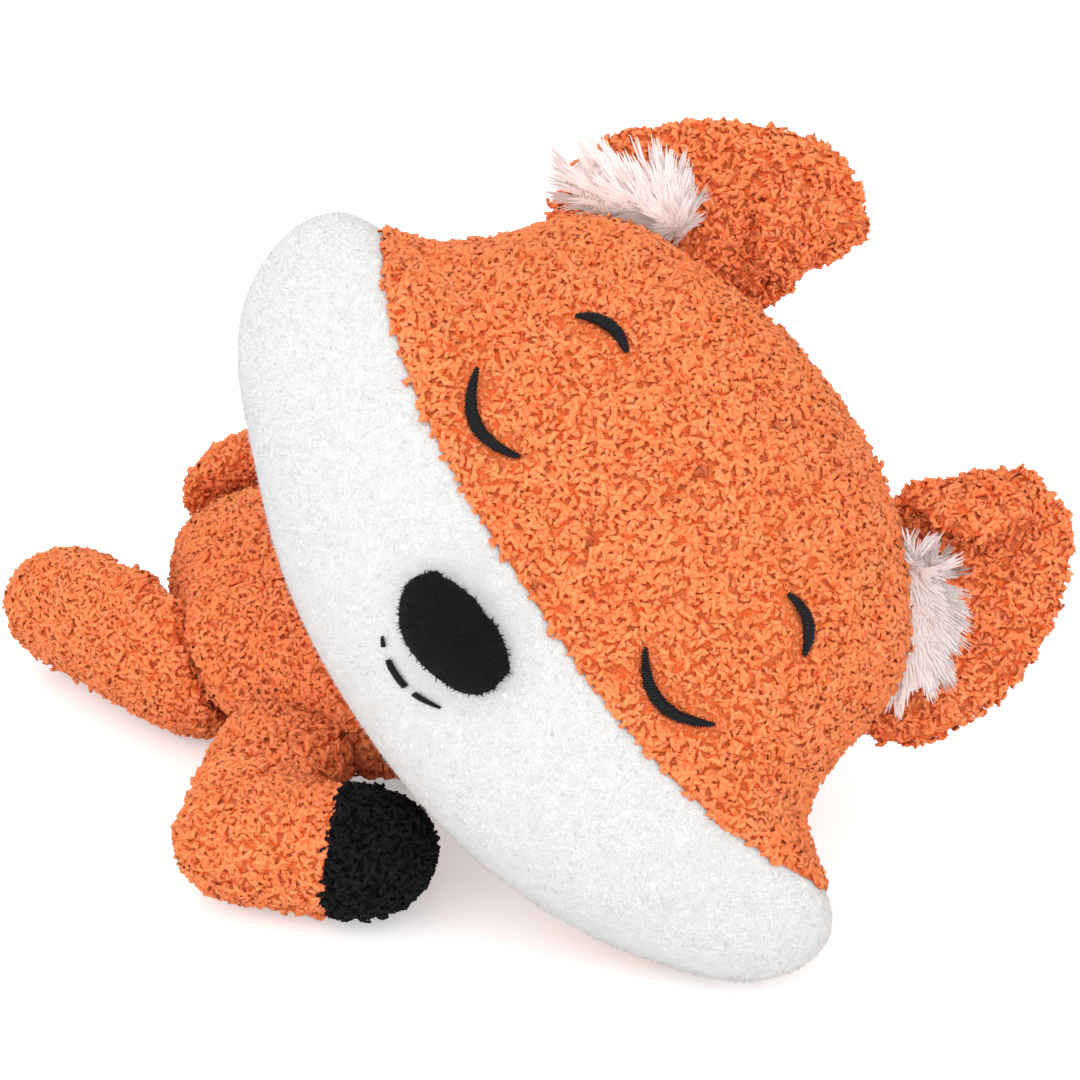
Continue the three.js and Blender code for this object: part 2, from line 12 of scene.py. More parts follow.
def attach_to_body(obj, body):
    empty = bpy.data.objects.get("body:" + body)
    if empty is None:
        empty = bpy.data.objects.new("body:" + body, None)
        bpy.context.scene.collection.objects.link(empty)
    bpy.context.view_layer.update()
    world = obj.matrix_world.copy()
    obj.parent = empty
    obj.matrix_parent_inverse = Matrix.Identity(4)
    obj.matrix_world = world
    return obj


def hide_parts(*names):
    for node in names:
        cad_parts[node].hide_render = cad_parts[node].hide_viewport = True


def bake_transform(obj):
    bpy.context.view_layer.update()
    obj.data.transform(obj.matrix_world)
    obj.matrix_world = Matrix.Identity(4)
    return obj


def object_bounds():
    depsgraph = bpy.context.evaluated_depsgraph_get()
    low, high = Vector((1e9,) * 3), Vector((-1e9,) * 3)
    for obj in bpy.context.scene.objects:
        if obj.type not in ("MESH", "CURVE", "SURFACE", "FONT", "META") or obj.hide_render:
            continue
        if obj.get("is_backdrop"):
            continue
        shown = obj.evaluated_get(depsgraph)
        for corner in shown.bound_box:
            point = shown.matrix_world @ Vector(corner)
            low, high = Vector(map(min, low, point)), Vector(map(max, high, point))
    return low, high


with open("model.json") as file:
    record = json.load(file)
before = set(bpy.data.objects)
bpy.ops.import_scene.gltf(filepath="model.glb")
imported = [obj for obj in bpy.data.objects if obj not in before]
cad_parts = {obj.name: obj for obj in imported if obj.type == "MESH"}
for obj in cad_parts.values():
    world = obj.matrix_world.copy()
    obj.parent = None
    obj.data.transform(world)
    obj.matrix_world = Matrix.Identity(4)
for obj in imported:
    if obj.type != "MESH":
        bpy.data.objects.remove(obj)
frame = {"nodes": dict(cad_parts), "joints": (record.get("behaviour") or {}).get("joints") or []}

bl_info = {
    "name": "Sleeping Plush Fox",
    "version": (1, 0, 0),
    "blender": (4, 5, 0),
    "location": "3D View > Sidebar > Fox",
    "description": "Builds the cloth, curls, pile and stitches of a sleeping plush fox around its packed model",
    "category": "Add Mesh",
}

CAD_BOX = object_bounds()
MM = 0.001
UP = Vector((0, 0, 1))
ACROSS = Vector((1, 0, 0))
WELD = 0.001 * MM
FLOOR_CLEARANCE = 0.2 * MM
JOINTS = {joint["name"]: joint for joint in frame["joints"]}

# The head's own frame: across the cheeks, up the face, and out of the face
NECK_PLACE = Vector(JOINTS["neck_turn"]["pos_m"])
FACE_OUT = Vector(JOINTS["neck_turn"]["axis"]).normalized()
FACE_ACROSS = Vector(JOINTS["head_nod"]["axis"]).normalized()
FACE_UP = FACE_OUT.cross(FACE_ACROSS)
NECK_TO_HEAD = Vector((13, -55.4, 43.9)) * MM
HEAD_FRAME = Matrix((FACE_ACROSS, FACE_UP, FACE_OUT)).transposed().to_4x4()
HEAD_FRAME.translation = NECK_PLACE + NECK_TO_HEAD

# The seam between the face and the muzzle, and the seam behind them, in the head's frame
SEAM_DROP = 15.9 * MM
SEAM_RISE = 25.3 * MM
SEAM_REACH = 119 * MM
SEAM_POWER = 2.8
BACK_SEAM_DEPTH = 9 * MM

# The torso's side seam, a wrist's seam, and how near to them or to the floor a cover keeps its place
SIDE_SEAM_HEIGHT = 26 * MM
SEAM_HOLD = 3 * MM
WRIST_GAP = 0.6 * MM
FLOOR_HOLD = 2 * MM

# Voxel sizes of the joined forms, their depth under the curls' tips, the filling's depth and its pressure
BODY_VOXEL = 5 * MM
LIMB_VOXEL = 4 * MM
NOSE_VOXEL = 1.8 * MM
CURL_BED = 2.1 * MM
FILLING_DEPTH = 5.5 * MM
FILLING_PRESSURE = 4

# The nose stands out further than its solid
NOSE_GROWTH = 0.9 * MM
NOSE_SWELL = 0.5 * MM
NOSE_FILLING_DEPTH = 0.8 * MM

# How deep inside a neighbour a cover has no curls: anywhere, at the nape, and where a limb is sewn on
BURIED_DEPTH = 1.5 * MM
NAPE_DEPTH = 6 * MM
SEWN_DEPTH = 8 * MM
INWARDS = 0.7

# Spans before and after the joint of a limb and of an ear
LIMB_BEND = (2 * MM, 26 * MM)
EAR_BEND = (4 * MM, 12 * MM)

# Stitched lines, as shares of the head's half width and height from its centre
HEAD_HALF_WIDTH = 135 * MM
HEAD_HEIGHT = 177 * MM
EYE_SHARES = ((0.235, 0.014), (0.342, -0.014), (0.438, 0.035))
BROW_SHARES = ((0.3, 0.246), (0.368, 0.247), (0.421, 0.213))
MOUTH_SHARES = ((-0.09, -0.3235), (0.001, -0.3385), (0.099, -0.3075))
MOUTH_GAPS = ((0.1, 0.26), (0.62, 0.72))
MOUTH_HALF_WIDTH = 1.15 * MM
MOUTH_LIFT = 0.9 * MM
STITCH_HALF_WIDTH = 2.25 * MM
STITCH_HEIGHT = 1.3 * MM
STITCH_LIFT = 2.1 * MM
STITCH_REACH = 6 * MM
THREAD_SPACING = 0.55 * MM
THREAD_HALF_LENGTH = 0.82 * THREAD_SPACING
THREAD_SLANT = math.radians(20)
THREAD_EVENING = 8

# Curls, pile and locks: turns are (pitch, roll) in degrees at each step of a strand
STRAND_SINK = 0.5 * MM
STRAND_SIDES = 3
CURL_BENDS = (
    ((-30, 0), (75, 20), (72, -25)),
    ((-15, 0), (65, -35), (68, 30)),
    ((8, 0), (58, 40), (55, 20)),
    ((-35, 0), (82, 30), (70, 45)),
    ((0, 0), (66, -25), (60, -40)),
)
PLY_TURNS = ((-7, 15), (2, -9), (9, -14))
PLY_SHIFT = 0.72
PLY_MIDDLE_LENGTH = 0.88
MUZZLE_PILE_THICKNESS = 0.34 * MM
NAP_THICKNESS = 0.75 * MM
NAP_SPACING = 0.6 * MM
LOCK_HAIRS = 5
LOCK_TURNS = ((1, ((52, 0), (-14, 4))), (0.85, ((60, 0), (-20, -5))), (0.92, ((44, 0), (-6, 6))))
LOCK_HALF_WIDTH = 1.2 * MM
HAIR_THICKNESS = 0.85 * MM
TUFT_SPACING = 0.95 * MM
TUFT_FAN_DEPTH = 26 * MM
TUFT_THINNED = 0.2

# How the curls grow: thinly under the toy, in lumps, and smallest beside a piece that they keep clear of
UNDER_SIDE = 6 * MM
UNDER_SIDE_SHARE = 0.4
POINTS_PER_SPACING = 1.6
CURL_LUMPS = 0.15
LUMP_SCALE = 190
SHY_SIZE = 0.22

# Where handling has pulled the covers out of their even shape: place, shift and reach in millimetres,
# for the head, nose, ears and tufts in the head's frame
HEAD_PULLS = (
    ((97, 26, 12), (-4, -2.5, 0), 45),
    ((-118, -28, 10), (-4, -2.5, 0), 72),
    ((-95, 30, 0), (-2.4, 8.4, 0), 48),
    ((124, -15, 15), (4, -0.4, 0), 40),
    ((-78, 62, 4), (-3.5, 3.5, 0), 38),
    ((-112, -42, 20), (-1.6, -2, 0), 45),
    ((-125, -4, 22), (-1.8, 1.8, 0), 36),
    ((121, 2, 24), (3.2, 5, 0), 38),
    ((4, 91, 5), (0.5, 1.5, 0), 60),
)
NOSE_PULLS = (
    ((0, -40, 55), (-1.5, 1.2, 0.5), 200),
    ((12, -30, 55), (1.5, 2.2, 0), 18),
    ((-8, -50, 55), (-0.5, -1.2, 0), 18),
)
EAR_PULLS = {
    "left": (
        ((46, 97, 8), (6, 0, 0), 20),
        ((50, 112, 9), (7, -1, 0), 20),
        ((45, 130, 1), (3, -6, 0), 16),
        ((46, 128, 0), (3, -4, 0), 30),
        ((85, 100, -4), (-2.2, 1, 0), 60),
        ((50, 104, 8), (1.5, -1.5, 4), 16),
    ),
    "right": (
        ((-60, 110, -5), (-3.2, 1.5, 0), 90),
        ((-49, 97, 8), (-7, 0, 0), 20),
        ((-53, 112, 9), (-8, 0, 0), 20),
        ((-62, 132, -12), (-1, 3.5, 0), 26),
        ((-38, 94, 3), (-4.5, 4, 0), 26),
        ((-97, 78, -7), (-4.5, -3, 0), 26),
        ((-50, 106, 8), (-1.5, 1.5, 5), 18),
    ),
}
TUFT_PULLS = {
    "left": (((60, 90, -5), (-16, 0, 3), 400),),
    "right": (((-80, 80, 0), (-3.8, -0.4, 4), 400),),
}
TORSO_PULLS = (
    ((-78, 121, 40), (9, -3, 0), 40),
    ((-73, 66, 40), (-6.5, 0, 5), 28),
    ((-74, 50, 20), (-6, -2, 0), 28),
)
LIMB_PULLS = {
    "front_leg_right": (((-58, -2, 34), (9, -7, 3), 32), ((-58, -67, 26), (3.4, -2.2, 0.5), 32)),
    "hind_leg_right": (((-100, 105, 44), (-2, 2, 8), 80), ((-70, 97, 53), (1, 0, 6), 20)),
    "tail": (((-38, 150, 56), (-5.4, 1, 1), 36),),
}

# Fibres' finish
FIBRE_ROUGHNESS = 0.95
FIBRE_SPECULAR = 0.2
SHEEN_ROUGHNESS = 0.5
PATCH_SCALE = 90
TIP_LIGHT = 1.12
FIBRE_SCALE = 1700
TWIST_SCALE = 1800

# The stage: only the camera and reflections see the floor's glow
FLOOR_HALF_SIZE = 4
FLOOR_SHADE = 0.86
FLOOR_GLOW = 0.36
SKY_STRENGTH = 0.76
LAMP_TARGET = Vector((0, 0, 0.08))
LAMPS = (
    ("key", (-0.8, -0.7, 1.5), 12.6, 2),
    ("fill", (-0.5, -1.6, 0.9), 14, 2),
    ("side", (-1.6, 0.1, 0.8), 6, 1.6),
    ("back", (0.7, 1.4, 1.1), 9, 1.6),
)
CAMERA_AZIMUTH = math.radians(-32)
CAMERA_ELEVATION = math.radians(27)
CAMERA_TARGET = Vector((-15.2, -56, 117.1)) * MM
CAMERA_DISTANCE = 0.765
CAMERA_LENS = 85
SENSOR_WIDTH = 36

FACE_STITCHES = ("eye_stitch_left", "eye_stitch_right", "brow_stitch_left", "brow_stitch_right")
LIMBS = ("front_leg_left", "front_leg_right", "hind_leg_left", "hind_leg_right", "tail", "neck")
SEWN_ON_TORSO = [f"{limb}_filling" for limb in LIMBS]


def shade(code):
    """The linear colour of a hexadecimal screen colour."""
    channels = [(code >> shift & 255) / 255 for shift in (16, 8, 0)]
    return [c / 12.92 if c <= 0.04045 else ((c + 0.055) / 1.055) ** 2.4 for c in channels]


def length_setting(name, description, default):
    """A length that a user would change."""
    return FloatProperty(name=name, description=description, default=default, unit="LENGTH")


def colour_setting(name, description, code):
    """A colour that a user would change."""
    return FloatVectorProperty(name=name, description=description, default=shade(code), subtype="COLOR")


class FoxSizes(bpy.types.PropertyGroup):
    """Sizes that a user would change."""

    curl_spacing: length_setting("Curl spacing", "Least distance between two curls", 1.72 * MM)
    hidden_curl_spacing: length_setting(
        "Hidden curl spacing", "Least distance between two curls on the toy's far side", 2.5 * MM
    )
    curl_length: length_setting("Curl length", "Length of a curl's yarn", 4.4 * MM)
    yarn_thickness: length_setting("Yarn thickness", "Thickness of a curl's yarn", 1.5 * MM)
    pile_length: length_setting("Pile length", "Length of the white plush pile", 1.5 * MM)
    pile_spacing: length_setting("Pile spacing", "Least distance between two tips of pile", 0.9 * MM)
    nap_length: length_setting("Nap length", "Length of the nose's nap", 1.7 * MM)
    tuft_length: length_setting("Tuft length", "Length of the ear tufts' pile", 13 * MM)
    cloth_thickness: length_setting("Cloth thickness", "Thickness of a cover", 1.8 * MM)
    swell_reach: length_setting("Swell", "Furthest that the filling pushes a cover out", 1.6 * MM)
    swell_steps: IntProperty(
        name="Swell steps", description="Frames of the cloth simulation", default=20, min=2
    )


class FoxColours(bpy.types.PropertyGroup):
    """Colours that a user would change."""

    orange_tip: colour_setting("Orange tips", "Tips of the orange curls", 0xFF9560)
    # Painted shade: darker orange for the curls' roots and the hollows of their ground
    orange_painted_shade: colour_setting("Orange roots", "Roots of the orange curls", 0xF46B2D)
    white_tip: colour_setting("White tips", "White plush pile", 0xF6F4F2)
    # Painted shade: a slightly darker white for the pile's roots and the hollows of its ground
    white_painted_shade: colour_setting("White roots", "Ground of the white plush", 0xF4F1EF)
    black_tip: colour_setting("Black tips", "Tips of the black curls", 0x151418)
    # Painted shade: a deeper black for the curls' roots and the hollows of their ground
    black_painted_shade: colour_setting("Black roots", "Roots of the black curls", 0x060607)
    thread: colour_setting("Thread", "Embroidery thread", 0x0C0C0F)
    tuft: colour_setting("Ear tufts", "Long pile in the ears", 0xFFF1EE)
    # Painted shade: a darker pink for the long pile's roots and the hollows of its ground
    tuft_painted_shade: colour_setting("Tuft roots", "Roots of the long pile", 0xFBDCD5)
    filling: colour_setting("Filling", "Loose fibre", 0xF3F1EA)


def sizes():
    """The toy's sizes."""
    return bpy.context.scene.fox_sizes


# Nodes, for materials and for the growing of strands


def plug(socket, value):
    """Gives a socket a link or a value."""
    if isinstance(value, bpy.types.NodeSocket):
        socket.id_data.links.new(value, socket)
    else:
        socket.default_value = value


def plugged(node, **inputs):
    """A node with its named inputs set."""
    for name, value in inputs.items():
        plug(node.inputs[name.replace("_", " ")], value)
    return node


def wired(tree, kind, settings=None, **inputs):
    """A new node with its properties and its named inputs set."""
    node = tree.nodes.new(kind)
    for name, value in (settings or {}).items():
        setattr(node, name, value)
    return plugged(node, **inputs)


def maths(tree, operation, *values):
    """The result of a sum on sockets and numbers."""
    node = wired(tree, "ShaderNodeMath", {"operation": operation})
    for socket, value in zip(node.inputs, values):
        plug(socket, value)
    return node.outputs[0]


def ranged(tree, value, low, high, to_low=0.0, to_high=1.0):
    """A socket's value moved from one range to another."""
    return wired(
        tree, "ShaderNodeMapRange", Value=value, From_Min=low, From_Max=high, To_Min=to_low, To_Max=to_high
    ).outputs["Result"]


def noise(tree, scale, detail, distortion=0.0):
    """Noise on object coordinates."""
    place = tree.nodes.new("ShaderNodeTexCoord").outputs["Object"]
    return wired(
        tree, "ShaderNodeTexNoise", Vector=place, Scale=scale, Detail=detail, Distortion=distortion
    ).outputs["Fac"]


def mixed(tree, factor, first, second):
    """A colour mix; first and second are colours or sockets."""
    mix = wired(tree, "ShaderNodeMix", {"data_type": "RGBA"})
    plug(mix.inputs["Factor"], factor)
    for name, value in (("A", first), ("B", second)):
        plug(mix.inputs[name], value if isinstance(value, bpy.types.NodeSocket) else (*value, 1))
    return mix.outputs["Result"]


def held_by_mesh(tree, name):
    """A number that the mesh holds."""
    return wired(tree, "ShaderNodeAttribute", {"attribute_name": name}).outputs["Fac"]


def bumped(tree, shader, height, strength, distance):
    """Gives a shader a bump from a height socket."""
    bump = wired(tree, "ShaderNodeBump", Strength=strength, Distance=distance, Height=height)
    plugged(shader, Normal=bump.outputs["Normal"])


# Materials


def plain_material(name, roughness, specular):
    """A new material, its node tree and its shader."""
    material = bpy.data.materials.new(name)
    material.use_nodes = True
    tree = material.node_tree
    shader = plugged(tree.nodes["Principled BSDF"], Roughness=roughness, Specular_IOR_Level=specular)
    return material, tree, shader


def fibre_material(name, sheen, tint, roughness=FIBRE_ROUGHNESS):
    """A new matt material with the soft light edge of fibres."""
    material, tree, shader = plain_material(name, roughness, FIBRE_SPECULAR)
    plugged(shader, Sheen_Weight=sheen, Sheen_Roughness=SHEEN_ROUGHNESS, Sheen_Tint=(*tint, 1))
    return material, tree, shader


def pile_material(name, tip, root, sheen, roughness=FIBRE_ROUGHNESS, relief=0.8):
    """Yarn or pile with painted shade that darkens it towards its roots, with patches and fibres."""
    material, tree, shader = fibre_material(name, sheen, tip, roughness)
    # Painted shade: each strand's rise blends from the darker root colour at the cloth up to its tip colour
    rise = ranged(tree, held_by_mesh(tree, "rise"), 0.0, 0.75)
    strand_tint = ranged(tree, held_by_mesh(tree, "strand"), 0.0, 1.0, 0.0, 0.35)
    light = [min(c * TIP_LIGHT, 1) for c in tip]
    middle = [(a * 2 + b) / 3 for a, b in zip(tip, root)]
    patchy = mixed(tree, ranged(tree, noise(tree, PATCH_SCALE, 2.0), 0.35, 0.65), middle, tip)
    tinted = mixed(tree, strand_tint, patchy, light)
    plugged(shader, Base_Color=mixed(tree, rise, root, tinted))
    bumped(tree, shader, noise(tree, FIBRE_SCALE, 3.0, 0.6), relief, 0.5 * MM)
    return material


def ground_material(name, light, painted_crevice_shade, scale=480.0, sheen=0.3):
    """The knitted ground under curls or pile, itself covered in small loops, with painted shade in the hollows
    between them.
    """
    material, tree, shader = fibre_material(name, sheen, light)
    offset = maths(tree, "SUBTRACT", noise(tree, scale, 2.0, 1.4), 0.5)
    loops = ranged(tree, maths(tree, "ABSOLUTE", offset), 0.0, 0.12, 1.0, 0.0)
    # Painted shade: the darker colour fills the hollows between the loops
    plugged(shader, Base_Color=mixed(tree, loops, painted_crevice_shade, light))
    bumped(tree, shader, loops, 0.8, 0.8 * MM)
    return material


def thread_material(name, colour):
    """Satin embroidery thread with a low gloss, and painted sheen that lightens its raised fibres."""
    material, tree, shader = plain_material(name, 0.5, 0.25)
    twist_and_sheen = noise(tree, TWIST_SCALE, 1.0)
    # Painted sheen: the colour turns lighter where the thread's raised fibres stand higher
    plugged(shader, Base_Color=mixed(tree, twist_and_sheen, colour, [c * 2.2 for c in colour]))
    bumped(tree, shader, twist_and_sheen, 0.4, 0.15 * MM)
    return material


def floor_material(name):
    """A plain pale floor that keeps the toy's shadow."""
    material, tree, shader = plain_material(name, 1.0, 0.0)
    rays = tree.nodes.new("ShaderNodeLightPath").outputs
    seen = maths(tree, "MAXIMUM", rays["Is Camera Ray"], rays["Is Glossy Ray"])
    seen = maths(tree, "MAXIMUM", seen, rays["Is Transmission Ray"])
    plugged(
        shader, Base_Color=(FLOOR_SHADE, FLOOR_SHADE, FLOOR_SHADE, 1), Emission_Color=(1, 1, 1, 1),
        Emission_Strength=maths(tree, "MULTIPLY", seen, FLOOR_GLOW),
    )
    return material


def glowing(material):
    """Lets light spread inside pale pile."""
    plugged(
        material.node_tree.nodes["Principled BSDF"], Subsurface_Weight=0.8,
        Subsurface_Radius=(1, 0.9, 0.85), Subsurface_Scale=3 * MM,
    )
    return material


MATERIALS = {}


def material(name):
    """The toy's materials, made once."""
    if not MATERIALS:
        c = bpy.context.scene.fox_colours
        # Each pile's root colour and each ground's second colour is painted shade
        MATERIALS.update({
            "orange yarn": pile_material("orange yarn", c.orange_tip, c.orange_painted_shade, 0.15),
            "orange ground": ground_material("orange ground", c.orange_tip, c.orange_painted_shade, sheen=0.15),
            "black yarn": pile_material("black yarn", c.black_tip, c.black_painted_shade, 0.25),
            "black ground": ground_material("black ground", c.black_tip, c.black_painted_shade, sheen=0.1),
            "white pile": glowing(pile_material("white pile", c.white_tip, c.white_painted_shade, 0.15, relief=0.25)),
            "white ground": glowing(ground_material("white ground", c.white_tip, c.white_painted_shade, 900.0, 0.15)),
            "nose nap": pile_material("nose nap", c.black_tip, c.black_painted_shade, 0.4, 0.7),
            "nose ground": ground_material("nose ground", c.black_tip, c.black_painted_shade, 900.0, 0.5),
            "thread": thread_material("thread", c.thread),
            "tuft pile": pile_material("tuft pile", c.tuft, c.tuft_painted_shade, 0.2, relief=0.25),
            "tuft ground": ground_material("tuft ground", c.tuft, c.tuft_painted_shade),
            # The filling's darker colour, 0.8 of its own, is painted shade between its loops
            "fibre": ground_material("fibre", c.filling, [v * 0.8 for v in c.filling], 260.0),
        })
    return MATERIALS[name]


# Making meshes


def linked(name, data):
    """A new object in the scene."""
    piece = bpy.data.objects.new(name, data)
    bpy.context.scene.collection.objects.link(piece)
    return piece


def put_in_scene(name, form):
    """A new object from a bmesh, which is freed."""
    mesh = bpy.data.meshes.new(name)
    form.to_mesh(mesh)
    form.free()
    return linked(name, mesh)


def solids(*nodes):
    """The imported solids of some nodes."""
    return [frame["nodes"][node] for node in nodes]


def loaded(*pieces):
    """A bmesh of some objects."""
    form = bmesh.new()
    for piece in pieces:
        form.from_mesh(piece.data)
    return form


def welded(*nodes):
    """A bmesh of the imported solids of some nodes, with shared vertices."""
    form = loaded(*solids(*nodes))
    bmesh.ops.remove_doubles(form, verts=form.verts, dist=WELD)
    return form


def removed(*pieces):
    """Deletes helper objects and their meshes."""
    for piece in pieces:
        mesh = piece.data
        bpy.data.objects.remove(piece)
        bpy.data.meshes.remove(mesh)


def gathered(name, parts):
    """One object from several, which are deleted."""
    parts = list(parts)
    form = loaded(*parts)
    removed(*parts)
    return put_in_scene(name, form)


def settle(piece):
    """Applies a piece's modifiers to its mesh."""
    graph = bpy.context.evaluated_depsgraph_get()
    final = bpy.data.meshes.new_from_object(piece.evaluated_get(graph))
    old = piece.data
    piece.modifiers.clear()
    piece.data = final
    bpy.data.meshes.remove(old)
    final.name = piece.name
    return piece


def edited(piece, change):
    """Changes a piece's mesh through a bmesh."""
    form = loaded(piece)
    change(form)
    form.to_mesh(piece.data)
    form.free()
    piece.data.update()
    return piece


def keep_largest(form):
    """Deletes all but the largest connected surface."""
    left, groups = set(form.verts), []
    while left:
        group, edge = set(), [next(iter(left))]
        while edge:
            vert = edge.pop()
            if vert in left:
                left.discard(vert)
                group.add(vert)
                edge.extend(e.other_vert(vert) for e in vert.link_edges)
        groups.append(group)
    groups.sort(key=len)
    for group in groups[:-1]:
        bmesh.ops.delete(form, geom=list(group), context="VERTS")


def smoothed(form, rounds):
    """Rounds off facets."""
    for _ in range(rounds):
        bmesh.ops.smooth_vert(
            form, verts=form.verts, factor=0.5, use_axis_x=True, use_axis_y=True, use_axis_z=True
        )


def on_floor(form):
    """Presses what would reach below the floor flat on it."""
    for vert in form.verts:
        vert.co.z = max(vert.co.z, FLOOR_CLEARANCE)


def cover_form(name, nodes, voxel, rounds=6, slim=CURL_BED):
    """One smooth closed form around the named nodes, slimmer by the height of its curls."""
    piece = put_in_scene(name, welded(*nodes))
    remesh = piece.modifiers.new("voxels", "REMESH")
    remesh.mode = "VOXEL"
    remesh.voxel_size = voxel
    settle(piece)
    edited(piece, keep_largest)
    edited(piece, lambda form: smoothed(form, rounds))
    inset = piece.modifiers.new("inset", "DISPLACE")
    inset.mid_level = 0
    inset.strength = -slim
    return settle(piece)


def swell(piece, reach, held=None):
    """Pushes a cover out with its filling, by a short cloth simulation, no further than reach."""
    rest = [vert.co.copy() for vert in piece.data.vertices]
    cloth = piece.modifiers.new("filling", "CLOTH")
    cloth.settings.use_pressure = True
    cloth.settings.uniform_pressure_force = FILLING_PRESSURE
    cloth.settings.effector_weights.gravity = 0
    if held:
        group = piece.vertex_groups.new(name="held")
        group.add([i for i, spot in enumerate(rest) if held(spot)], 1.0, "REPLACE")
        cloth.settings.vertex_group_mass = "held"
    cloth.point_cache.frame_end = sizes().swell_steps
    for step in range(sizes().swell_steps):
        bpy.context.scene.frame_set(step + 1)
    settle(piece)
    piece.vertex_groups.clear()
    for vert, spot in zip(piece.data.vertices, rest):
        push = vert.co - spot
        if push.length > reach:
            vert.co = spot + push.normalized() * reach
    bpy.context.scene.frame_set(1)
    return edited(piece, lambda form: smoothed(form, 1))


def subdivided(piece, levels=1):
    """Rounds a piece with a subdivision surface."""
    rounder = piece.modifiers.new("round", "SUBSURF")
    rounder.levels = rounder.render_levels = levels
    return settle(piece)


def tucked(piece, pulls, stance=Matrix()):
    """Pulls parts of a piece along: each pull is a place, a shift and a reach in millimetres, in the stance."""
    turn = stance.to_3x3()
    for place, shift, reach in pulls:
        centre, along = stance @ (Vector(place) * MM), turn @ (Vector(shift) * MM)
        for vert in piece.data.vertices:
            near = 1 - (vert.co - centre).length / (reach * MM)
            if near > 0:
                vert.co += along * near * near * (3 - 2 * near)
    piece.data.update()
    return piece


def stuffed(form, reach, pulls, stance=Matrix(), held=None):
    """Swells a form, pulls it as handling has, rounds it and rests it on the floor."""
    swell(form, reach, held)
    tucked(form, pulls, stance)
    subdivided(form)
    return edited(form, on_floor)


def cut_away(piece, name, place, normal, bend=None):
    """A copy of a piece with what lies on the normal's side of a plane cut away; bend shifts the plane."""
    form = loaded(piece)
    if bend:
        for vert in form.verts:
            vert.co -= bend(vert.co)
    bmesh.ops.bisect_plane(
        form, geom=[*form.verts, *form.edges, *form.faces], plane_co=place, plane_no=normal, clear_outer=True
    )
    if bend:
        for vert in form.verts:
            vert.co += bend(vert.co)
    return put_in_scene(name, form)


def is_open(piece):
    """Whether a piece has a free edge."""
    form = loaded(piece)
    found = any(edge.is_boundary for edge in form.edges)
    form.free()
    return found


def smooth_shaded(piece, name):
    """Smooth faces in one material."""
    piece.data.materials.clear()
    piece.data.materials.append(material(name))
    piece.data.polygons.foreach_set("use_smooth", [True] * len(piece.data.polygons))
    piece.data.update()
    return piece


# Strands


def strand(name, length, thickness, turns, girths):
    """A strand that is swept step by step, with a turn (pitch, roll) in degrees at each step.

    The girths at its root, middle and tip are shares of its thickness."""
    root, middle, tip = girths
    form = bmesh.new()
    ring = bmesh.ops.create_circle(form, cap_ends=True, radius=thickness / 2, segments=STRAND_SIDES)["verts"]
    pen = Matrix.Translation((0, 0, -STRAND_SINK))
    bmesh.ops.transform(form, matrix=pen @ Matrix.Scale(root, 4), verts=ring)
    girth = root
    for step, (pitch, roll) in enumerate(turns, 1):
        edges = {edge for vert in ring for edge in vert.link_edges if edge.other_vert(vert) in ring}
        grown = bmesh.ops.extrude_edge_only(form, edges=list(edges))["geom"]
        ring = [item for item in grown if isinstance(item, bmesh.types.BMVert)]
        forward = (
            pen
            @ Matrix.Rotation(math.radians(roll), 4, "Z")
            @ Matrix.Rotation(math.radians(pitch), 4, "Y")
            @ Matrix.Translation((0, 0, length / len(turns)))
        )
        share = step / len(turns)
        if share < 0.5:
            full = root + (middle - root) * share * 2
        else:
            full = middle + (tip - middle) * (share * 2 - 1)
        change = forward @ Matrix.Scale(full / girth, 4) @ pen.inverted()
        bmesh.ops.transform(form, matrix=change, verts=ring)
        pen, girth = forward, full
    bmesh.ops.contextual_create(form, geom=ring)
    bmesh.ops.recalc_face_normals(form, faces=form.faces)
    rise = form.verts.layers.float.new("rise")
    top = max(vert.co.z for vert in form.verts)
    for vert in form.verts:
        vert[rise] = max(vert.co.z, 0) / top
    return put_in_scene(name, form)


def curl_plies(turns):
    """The three plies of a curl of yarn, side by side."""
    s = sizes()
    for ply, (pitched, rolled) in zip((-1, 0, 1), PLY_TURNS):
        bent = [(pitch + pitched, roll + rolled) for pitch, roll in turns]
        long = s.curl_length * (1 if ply else PLY_MIDDLE_LENGTH)
        part = strand("ply", long, s.yarn_thickness, bent, (1, 1, 0.75))
        for vert in part.data.vertices:
            vert.co.y += ply * s.yarn_thickness * PLY_SHIFT
        yield part


def curl_shapes():
    """A few curls of yarn that arch over and come back to the cloth."""
    return [gathered(f"curl {i}", curl_plies(turns)) for i, turns in enumerate(CURL_BENDS)]


def pile_shapes(length, thickness, lean):
    """A few straight slivers of pile that lean over."""
    return [
        strand(f"sliver {i}", length * (1 - 0.15 * i), thickness, ((lean + 12 * i, 0),), (1, 1, 0.15))
        for i in range(3)
    ]


def lock_hairs(i, long, turns):
    """The hairs of a lock, which part towards their tips."""
    for hair in range(LOCK_HAIRS):
        reach = sizes().tuft_length * (long - 0.07 * (hair % 3))
        part = strand("hair", reach, HAIR_THICKNESS, turns, (1, 1, 0.3))
        around = Matrix.Rotation(math.tau * hair / LOCK_HAIRS + i, 3, "Z")
        spread = around @ Vector((LOCK_HALF_WIDTH, 0, 0))
        for vert in part.data.vertices:
            vert.co += spread * (0.45 + 0.55 * part.data.attributes["rise"].data[vert.index].value)
        yield part


def lock_shapes():
    """A few locks of long pile."""
    return [gathered(f"lock {i}", lock_hairs(i, *shape)) for i, shape in enumerate(LOCK_TURNS)]


